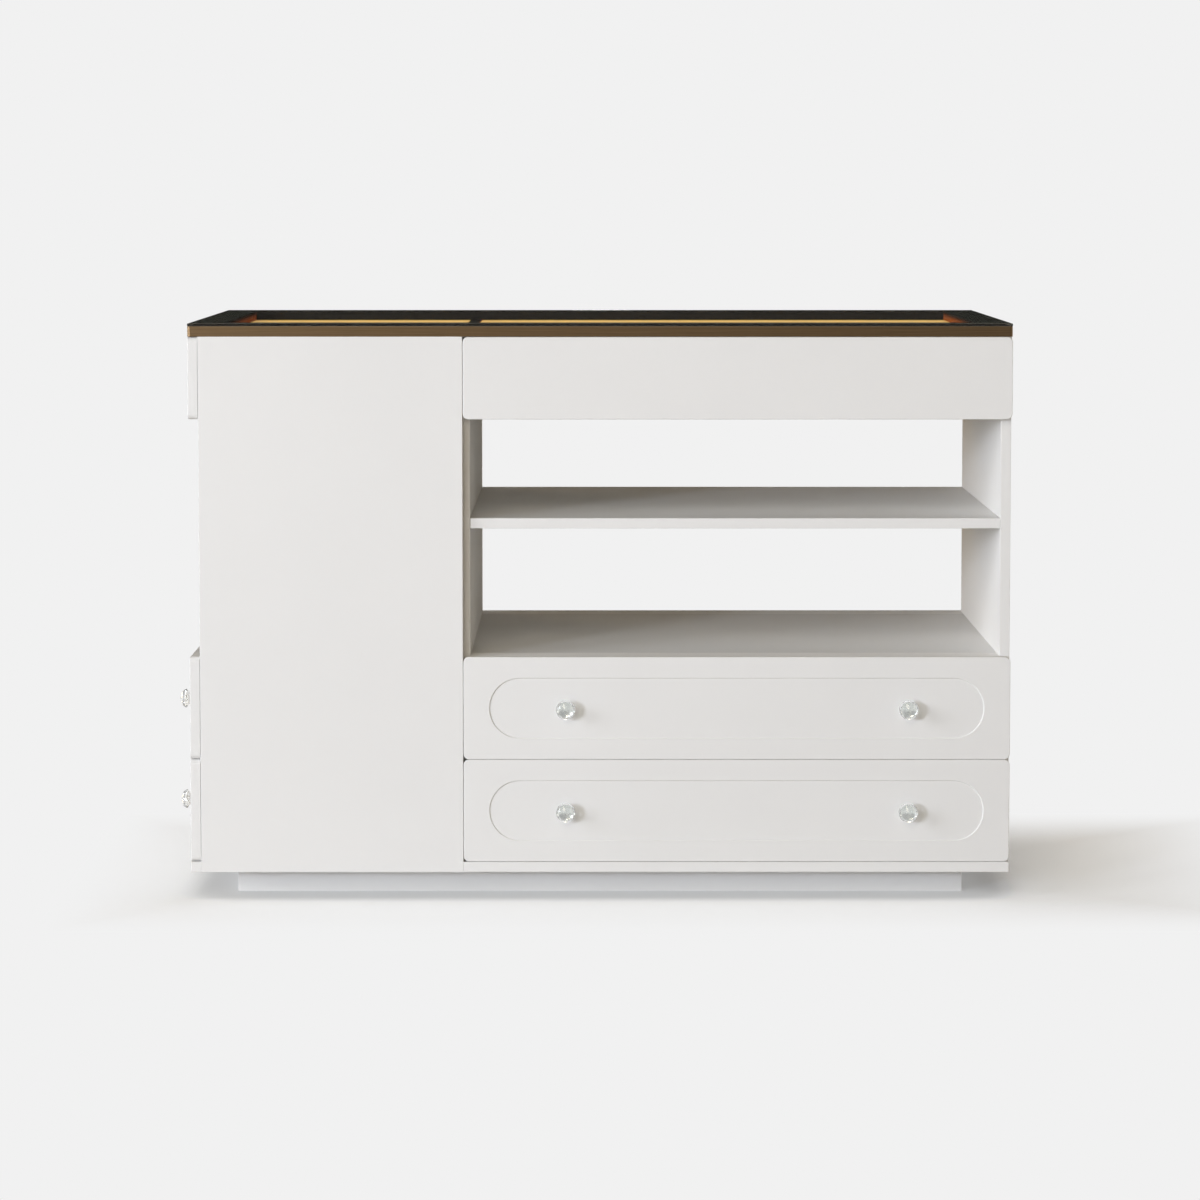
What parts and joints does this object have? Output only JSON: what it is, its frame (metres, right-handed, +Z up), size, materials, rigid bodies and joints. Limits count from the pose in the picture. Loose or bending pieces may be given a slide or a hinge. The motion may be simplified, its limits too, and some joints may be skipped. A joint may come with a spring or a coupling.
{
  "type": "closet island",
  "caption": "Free-standing closet island in white: a narrow unit with drawers facing the end, a wide unit with drawers facing the front, open bays with shelves, glass top on a metal frame.",
  "frame": {"origin": "on the floor, under the centre of the plinth and of the carcass", "axes": "+Z up, X along the island with the narrow unit at -X, the wide unit's drawers face -Y"},
  "size_m": [1.2259, 0.6259, 0.845],
  "materials": {
    "white_lacquer": "satin warm-white lacquer on board",
    "box_board": "matt white melamine on board",
    "plain_wood": "plain beech",
    "bronzed_metal": "satin bronzed",
    "gold_metal": "satin gold",
    "top_glass": "clear tempered, printed black border",
    "runner_steel": "zinc plated",
    "knob_metal": "polished",
    "knob_crystal": "clear cut crystal"
  },
  "bodies": {
    "cabinet": {"plinth_frame": "white_lacquer", "base_board": "white_lacquer", "narrow_front_panel": "white_lacquer", "narrow_rear_panel": "white_lacquer", "narrow_back_board": "white_lacquer", "wide_inner_wall": "white_lacquer", "wide_outer_wall": "white_lacquer", "wide_rear_panels": "white_lacquer", "deck_stretchers": "white_lacquer", "shelf_pins": "runner_steel", "carcass_dowels": "plain_wood", "metal_frame": "bronzed_metal", "window_lining": "gold_metal", "glass_top": "top_glass", "top_boards": "white_lacquer", "narrow_deck": "white_lacquer", "narrow_bay_ceiling": "white_lacquer", "narrow_shelf": "white_lacquer", "wide_deck": "white_lacquer", "wide_bay_ceiling": "white_lacquer", "wide_shelf": "white_lacquer", "runner_fixed_channels": "runner_steel"},
    "wide_lower_drawer": {"wide_lower_front": "white_lacquer", "wide_lower_box": "box_board", "wide_lower_bottom": "box_board", "wide_lower_drawer_channels": "runner_steel", "wide_lower_knob_bases": "knob_metal", "wide_lower_knob_crystals": "knob_crystal"},
    "wide_lower_runner_middle": {"wide_lower_middle_channels": "runner_steel"},
    "wide_upper_drawer": {"wide_upper_front": "white_lacquer", "wide_upper_box": "box_board", "wide_upper_bottom": "box_board", "wide_upper_drawer_channels": "runner_steel", "wide_upper_knob_bases": "knob_metal", "wide_upper_knob_crystals": "knob_crystal"},
    "wide_upper_runner_middle": {"wide_upper_middle_channels": "runner_steel"},
    "wide_top_drawer": {"wide_top_front": "white_lacquer", "wide_top_box": "box_board", "wide_top_bottom": "box_board", "wide_top_drawer_channels": "runner_steel"},
    "wide_top_runner_middle": {"wide_top_middle_channels": "runner_steel"},
    "narrow_lower_drawer": {"narrow_lower_front": "white_lacquer", "narrow_lower_box": "box_board", "narrow_lower_bottom": "box_board", "narrow_lower_drawer_channels": "runner_steel", "narrow_lower_knob_bases": "knob_metal", "narrow_lower_knob_crystals": "knob_crystal"},
    "narrow_lower_runner_middle": {"narrow_lower_middle_channels": "runner_steel"},
    "narrow_upper_drawer": {"narrow_upper_front": "white_lacquer", "narrow_upper_box": "box_board", "narrow_upper_bottom": "box_board", "narrow_upper_drawer_channels": "runner_steel", "narrow_upper_knob_bases": "knob_metal", "narrow_upper_knob_crystals": "knob_crystal"},
    "narrow_upper_runner_middle": {"narrow_upper_middle_channels": "runner_steel"},
    "narrow_top_drawer": {"narrow_top_front": "white_lacquer", "narrow_top_box": "box_board", "narrow_top_bottom": "box_board", "narrow_top_drawer_channels": "runner_steel"},
    "narrow_top_runner_middle": {"narrow_top_middle_channels": "runner_steel"}
  },
  "joints": [
    {"name": "wide_lower_drawer_slide", "type": "slide", "parent": "cabinet", "child": "wide_lower_drawer", "axis": [0, -1, 0], "range_m": [0, 0.48]},
    {"name": "wide_lower_runner_slide", "type": "slide", "parent": "cabinet", "child": "wide_lower_runner_middle", "axis": [0, -1, 0], "range_m": [0, 0.24]},
    {"name": "wide_upper_drawer_slide", "type": "slide", "parent": "cabinet", "child": "wide_upper_drawer", "axis": [0, -1, 0], "range_m": [0, 0.48]},
    {"name": "wide_upper_runner_slide", "type": "slide", "parent": "cabinet", "child": "wide_upper_runner_middle", "axis": [0, -1, 0], "range_m": [0, 0.24]},
    {"name": "wide_top_drawer_slide", "type": "slide", "parent": "cabinet", "child": "wide_top_drawer", "axis": [0, -1, 0], "range_m": [0, 0.48]},
    {"name": "wide_top_runner_slide", "type": "slide", "parent": "cabinet", "child": "wide_top_runner_middle", "axis": [0, -1, 0], "range_m": [0, 0.24]},
    {"name": "narrow_lower_drawer_slide", "type": "slide", "parent": "cabinet", "child": "narrow_lower_drawer", "axis": [-1, 0, 0], "range_m": [0, 0.33]},
    {"name": "narrow_lower_runner_slide", "type": "slide", "parent": "cabinet", "child": "narrow_lower_runner_middle", "axis": [-1, 0, 0], "range_m": [0, 0.165]},
    {"name": "narrow_upper_drawer_slide", "type": "slide", "parent": "cabinet", "child": "narrow_upper_drawer", "axis": [-1, 0, 0], "range_m": [0, 0.33]},
    {"name": "narrow_upper_runner_slide", "type": "slide", "parent": "cabinet", "child": "narrow_upper_runner_middle", "axis": [-1, 0, 0], "range_m": [0, 0.165]},
    {"name": "narrow_top_drawer_slide", "type": "slide", "parent": "cabinet", "child": "narrow_top_drawer", "axis": [-1, 0, 0], "range_m": [0, 0.33]},
    {"name": "narrow_top_runner_slide", "type": "slide", "parent": "cabinet", "child": "narrow_top_runner_middle", "axis": [-1, 0, 0], "range_m": [0, 0.165]}
  ],
  "couplings": [
    {"joint": "wide_lower_runner_slide", "follows": "wide_lower_drawer_slide", "ratio": 0.5},
    {"joint": "wide_upper_runner_slide", "follows": "wide_upper_drawer_slide", "ratio": 0.5},
    {"joint": "wide_top_runner_slide", "follows": "wide_top_drawer_slide", "ratio": 0.5},
    {"joint": "narrow_lower_runner_slide", "follows": "narrow_lower_drawer_slide", "ratio": 0.5},
    {"joint": "narrow_upper_runner_slide", "follows": "narrow_upper_drawer_slide", "ratio": 0.5},
    {"joint": "narrow_top_runner_slide", "follows": "narrow_top_drawer_slide", "ratio": 0.5}
  ]
}
